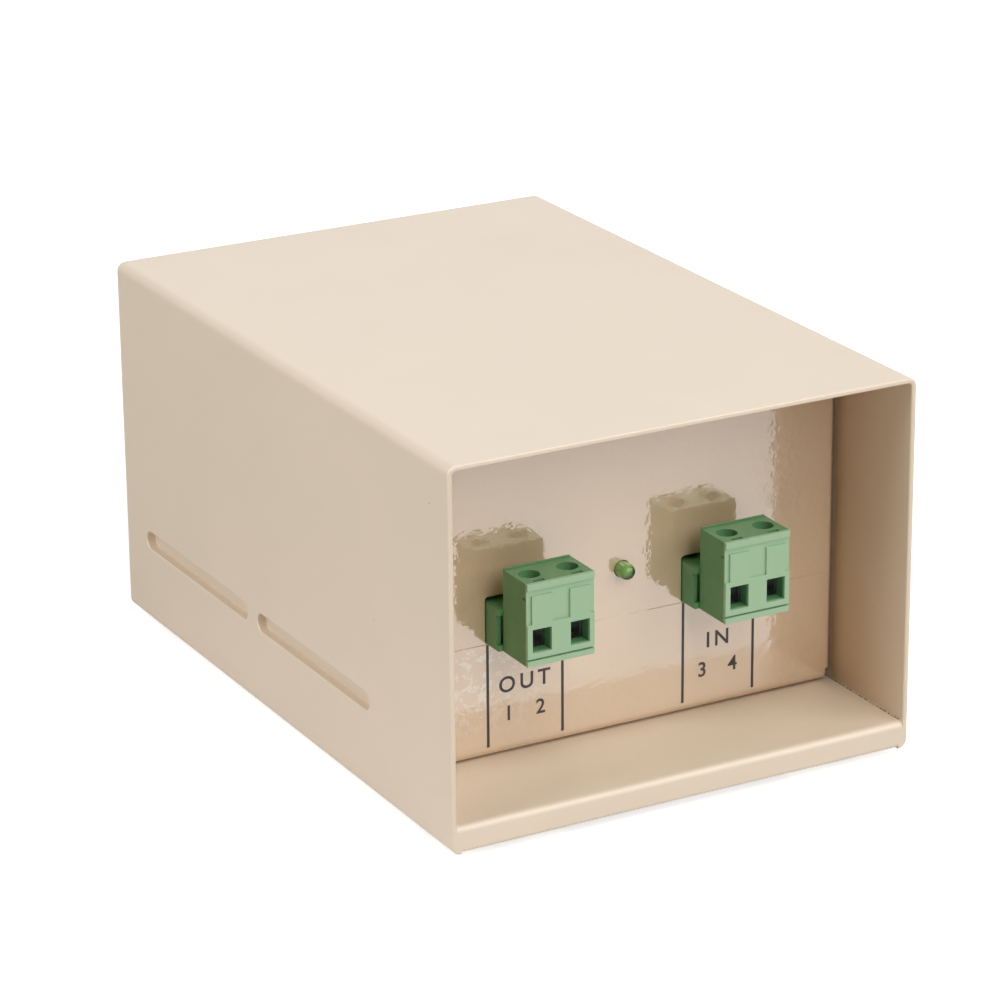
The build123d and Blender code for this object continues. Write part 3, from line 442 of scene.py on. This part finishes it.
finishes = {
    # Sprayed as powder and baked on the folded case: an even satin cream, with painted shade darkening it
    # inside the open front
    "case_paint": powder_coat("satin_powder_coat", "#E0CEB7", 0.5, 0.8, 0.014, 2.1, recess_shade_code="#C6A683"),
    # Flowed and stoved on the flat panel: a glassy coat with slow waves that bend what it mirrors
    "panel_paint": powder_coat("gloss_stove_enamel", PANEL_COLOUR, 0.3, 1.9, 0.07, ENAMEL_IOR,
                               MIRROR_COAT_IOR),
    # Clear film pressed on the enamel by hand: the same gloss, with pale patches of trapped air
    "label_film": powder_coat("clear_polyester_over_enamel", PANEL_COLOUR, 0.3, 2.0, 0.065, ENAMEL_IOR,
                              MIRROR_COAT_IOR, blisters=True),
    # Pressed and cured in a rough mould: near black with no shine
    "foot_rubber": moulded_plastic("epdm_rubber", "#232221", 0.8, 0.4, 0.02),
    # Injected into a spark-eroded mould: soft green body, its front face paler with painted sheen
    "terminal_green": plastic_with_painted_sheen("polyamide_green", "#5E9461", "#9FC09B", 0.45, plug_front),
    # Stamped from strip and dipped in tin: pale warm metal with drawn lines
    "tinned_copper": plated_metal("tinned_copper", "#C9C4B8", 0.3),
    # Turned or folded, then barrel-plated: cool grey metal, dull here and bright there
    "zinc_steel": plated_metal("zinc_plated_steel", "#8E9093", 0.3),
    # Cast round the chip in a polished cup: a green bead with painted light on its upper left and painted
    # shade on its lower right
    "lamp_green": clear_resin("tinted_epoxy", "#A6E07C", "#1E4527", 0.04, lens_middle,
                              LENS_REACH_MM),
    # Woven glass pressed with resin under green mask: a slight weave under a half gloss
    "board_laminate": moulded_plastic("epoxy_glass_laminate", "#1F5A33", 0.35, 0.5, 0.01),
    # Drawn tube: smooth, pale and glossy
    "fuse_glass": moulded_plastic("soda_glass", "#E8F1F0", 0.05, 2.0, 0.001),
    # Drawn cups plated bright: sharp highlights
    "fuse_metal": plated_metal("nickel_plate", "#CFCCC4", 0.2),
    # Dipped and baked lacquer: even tan with a low sheen
    "resistor_coat": moulded_plastic("resistor_lacquer", "#CDB384", 0.4),
    # Transfer-moulded round the leads: plain black with a low sheen
    "diode_coat": moulded_plastic("black_epoxy", "#1B1B1C", 0.4),
    # Punched sheets stacked face to face: fine dark seams along the stack
    "core_steel": striped_metal("silicon_steel_stack", "#6E6E70", "#3B3B3D", 1, 0.5, 0.25, 0.4),
    # Moulded with glass fibre: black with a dusty grain
    "bobbin_nylon": moulded_plastic("glass_filled_nylon", "#202123", 0.5),
    # Wound turn by turn: copper bands with a dark line between the turns
    "winding_copper": striped_metal("enamelled_copper_wire", "#B4683A", "#6A3417", 2, 0.25, 0.3, 0.3),
    # Wrapped by hand round the coil: smooth yellow film with slight waves
    "winding_tape": moulded_plastic("polyester_tape", "#D9B23C", 0.3, 1.5, 0.01),
    # Drawn over the wire hot: smooth black or red with a soft shine
    "primary_insulation": moulded_plastic("black_pvc", "#1C1C1E", 0.45),
    "secondary_insulation": moulded_plastic("red_pvc", "#A82420", 0.45),
}

for part in frame["record"]["subparts"]:
    piece = nodes[part["node"]]
    piece.data.materials.clear()
    piece.data.materials.append(finishes[part["material_slot"]])

# Printed marks, in millimetres

FILM_FACE_Y = -45.3
CASE_FOOT_Z = 1.5
INK_THICKNESS = 0.016
WORD_GAP_TO_FILM = 0.01
LINE_GAP_TO_FILM = 0.002
CAP_SHARE_OF_SIZE = 0.729
STROKE_GAIN = 0.06
TERMINAL_X = 20.15
WORD_Z, WORD_CAPS, WORD_SPACING = CASE_FOOT_Z + 17.7, 3.1, 1.35
NUMBER_Z, NUMBER_CAPS, NUMBER_SPACING = CASE_FOOT_Z + 12.2, 2.9, 1.15
LINE_LOW_Z, LINE_HIGH_Z, LINE_WIDTH = CASE_FOOT_Z + 7.75, CASE_FOOT_Z + 27.45, 0.54
LINE_CORNER = 0.12

# Screened on the film and dried: a flat warm black with a crisp edge
ink = moulded_plastic("screen_ink", "#3A3536", 0.35, 0.5, 0.002)


def finish_piece(piece, body):
    """Put the piece's place into its mesh and let it ride on a body."""
    bpy.ops.object.select_all(action="DESELECT")
    piece.select_set(True)
    bpy.context.view_layer.objects.active = piece
    bpy.ops.object.transform_apply(location=True, rotation=True, scale=True)
    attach(piece, body)


def scaled_plane(name, centre_mm, scale, rotation=(0, 0, 0)):
    """Plane one metre across with the given scale put into its mesh, left in edit mode, all selected."""
    bpy.ops.object.select_all(action="DESELECT")
    bpy.ops.mesh.primitive_plane_add(size=1.0, location=[v * MM for v in centre_mm], rotation=rotation)
    piece = bpy.context.object
    piece.name = name
    piece.scale = scale
    bpy.ops.object.transform_apply(location=False, rotation=False, scale=True)
    bpy.ops.object.mode_set(mode="EDIT")
    bpy.ops.mesh.select_all(action="SELECT")
    return piece


def close_film(move_mm):
    """Thicken the selected sheet into a closed film and leave edit mode."""
    bpy.ops.mesh.extrude_region_move(TRANSFORM_OT_translate={"value": [v * MM for v in move_mm]})
    bpy.ops.mesh.select_all(action="SELECT")
    bpy.ops.mesh.normals_make_consistent(inside=False)
    bpy.ops.object.mode_set(mode="OBJECT")


def printed_words(name, words, centre_x, base_z, cap_height, spacing):
    """One line of plain capitals or figures on the label, as a thin film of ink."""
    bpy.ops.object.text_add(location=(centre_x * MM, (FILM_FACE_Y - WORD_GAP_TO_FILM) * MM, base_z * MM),
                            rotation=(math.radians(90), 0, 0))
    text = bpy.context.object
    text.name = name
    text.data.body = words
    text.data.align_x = "CENTER"
    text.data.size = cap_height * MM / CAP_SHARE_OF_SIZE
    text.data.space_character = spacing
    text.data.offset = STROKE_GAIN * MM
    text.data.extrude = INK_THICKNESS / 2 * MM
    text.data.resolution_u = 6
    bpy.ops.object.convert(target="MESH")
    piece = bpy.context.object
    piece.data.materials.clear()
    piece.data.materials.append(ink)
    finish_piece(piece, "case")


def printed_line(name, x):
    """Upright printed line that ties a terminal to its words, with slightly rounded corners."""
    piece = scaled_plane(name, (x, FILM_FACE_Y - LINE_GAP_TO_FILM, (LINE_LOW_Z + LINE_HIGH_Z) / 2),
                         (LINE_WIDTH * MM, (LINE_HIGH_Z - LINE_LOW_Z) * MM, 1.0), (math.radians(90), 0, 0))
    bpy.ops.mesh.bevel(offset=LINE_CORNER * MM, segments=3, affect="VERTICES")
    bpy.ops.mesh.select_all(action="SELECT")
    close_film((0, -INK_THICKNESS, 0))
    piece.data.materials.append(ink)
    finish_piece(piece, "case")


for circuit, x, word, numbers in (("output", -TERMINAL_X, "OUT", "1   2"),
                                  ("input", TERMINAL_X, "IN", "3   4")):
    printed_words(f"{circuit}_word", word, x, WORD_Z, WORD_CAPS, WORD_SPACING)
    printed_words(f"{circuit}_numbers", numbers, x, NUMBER_Z, NUMBER_CAPS, NUMBER_SPACING)
for name, x in (("output_line_left", -27.6), ("output_line_right", -12.4),
                ("input_line_left", 12.75), ("input_line_right", 27.7)):
    printed_line(name, x)

# The joint between the floor pan and each side wall: painted shadow in it and beads of paint over it, in
# millimetres

SEAM_X = 45.9
SEAM_SHADOW_Z = 6.83
SEAM_SHADOW_WIDTH = 0.2
SEAM_SHADOW_DEPTH = 0.02
SEAM_SHADOW_RAGGEDNESS = 0.05
SEAM_SHADOW_Y = (-45.6, -66.4)
BEAD_Z = 6.88
BEAD_Y = (-46.0, -66.3)
BEAD_RADIUS = (0.08, 0.17)
BEAD_STRETCH = (1.2, 2.6)
BEAD_FLATNESS = 0.8
BEAD_STRAY = 0.04
BEAD_LUMPS = 0.03


def painted_seam_shadow(name, x, seed):
    """Dark ragged strip of painted shadow in the slit where the pan meets a side wall."""
    first_y, last_y = SEAM_SHADOW_Y
    piece = scaled_plane(name, (x, (first_y + last_y) / 2, SEAM_SHADOW_Z),
                         (SEAM_SHADOW_WIDTH * MM, (first_y - last_y) * MM, 1.0))
    bpy.ops.mesh.subdivide(number_cuts=24)
    bpy.ops.transform.vertex_random(offset=SEAM_SHADOW_RAGGEDNESS * MM, seed=seed)
    close_film((0, 0, -SEAM_SHADOW_DEPTH))
    # The painted shadow in the joint uses the feet's dark, dull rubber finish
    piece.data.materials.append(finishes["foot_rubber"])
    finish_piece(piece, "case")


def paint_bead(spread, x, y, seed):
    """One lumpy drop of baked powder, longer along the joint than across it."""
    bpy.ops.object.select_all(action="DESELECT")
    bpy.ops.mesh.primitive_ico_sphere_add(subdivisions=2, radius=spread.uniform(*BEAD_RADIUS) * MM,
                                          location=((x + spread.uniform(-BEAD_STRAY, BEAD_STRAY)) * MM,
                                                    y * MM, BEAD_Z * MM))
    bead = bpy.context.object
    bead.scale = (1.0, spread.uniform(*BEAD_STRETCH), BEAD_FLATNESS)
    bpy.ops.object.transform_apply(location=False, rotation=False, scale=True)
    bpy.ops.object.mode_set(mode="EDIT")
    bpy.ops.mesh.select_all(action="SELECT")
    bpy.ops.transform.vertex_random(offset=BEAD_LUMPS * MM, seed=seed)
    bpy.ops.object.mode_set(mode="OBJECT")
    bpy.ops.object.shade_smooth()
    return bead


def paint_beads(name, x, count, seed):
    """Beads of powder baked along the slit between the pan and a side wall, bridging it here and there."""
    first_y, last_y = BEAD_Y
    spread = random.Random(seed)
    beads = []
    for number in range(count):
        y = first_y + (last_y - first_y) * (number + spread.uniform(0.1, 0.9)) / count
        beads.append(paint_bead(spread, x, y, number + 1))
    bpy.ops.object.select_all(action="DESELECT")
    for bead in beads:
        bead.select_set(True)
    bpy.context.view_layer.objects.active = beads[0]
    bpy.ops.object.join()
    piece = bpy.context.object
    piece.name = name
    piece.data.materials.clear()
    piece.data.materials.append(finishes["case_paint"])
    finish_piece(piece, "case")


for side, x, count, seed in (("right", SEAM_X, 34, 4), ("left", -SEAM_X, 28, 9)):
    painted_seam_shadow(f"painted_seam_shadow_{side}", x, seed)
    paint_beads(f"paint_beads_{side}", x, count, seed)
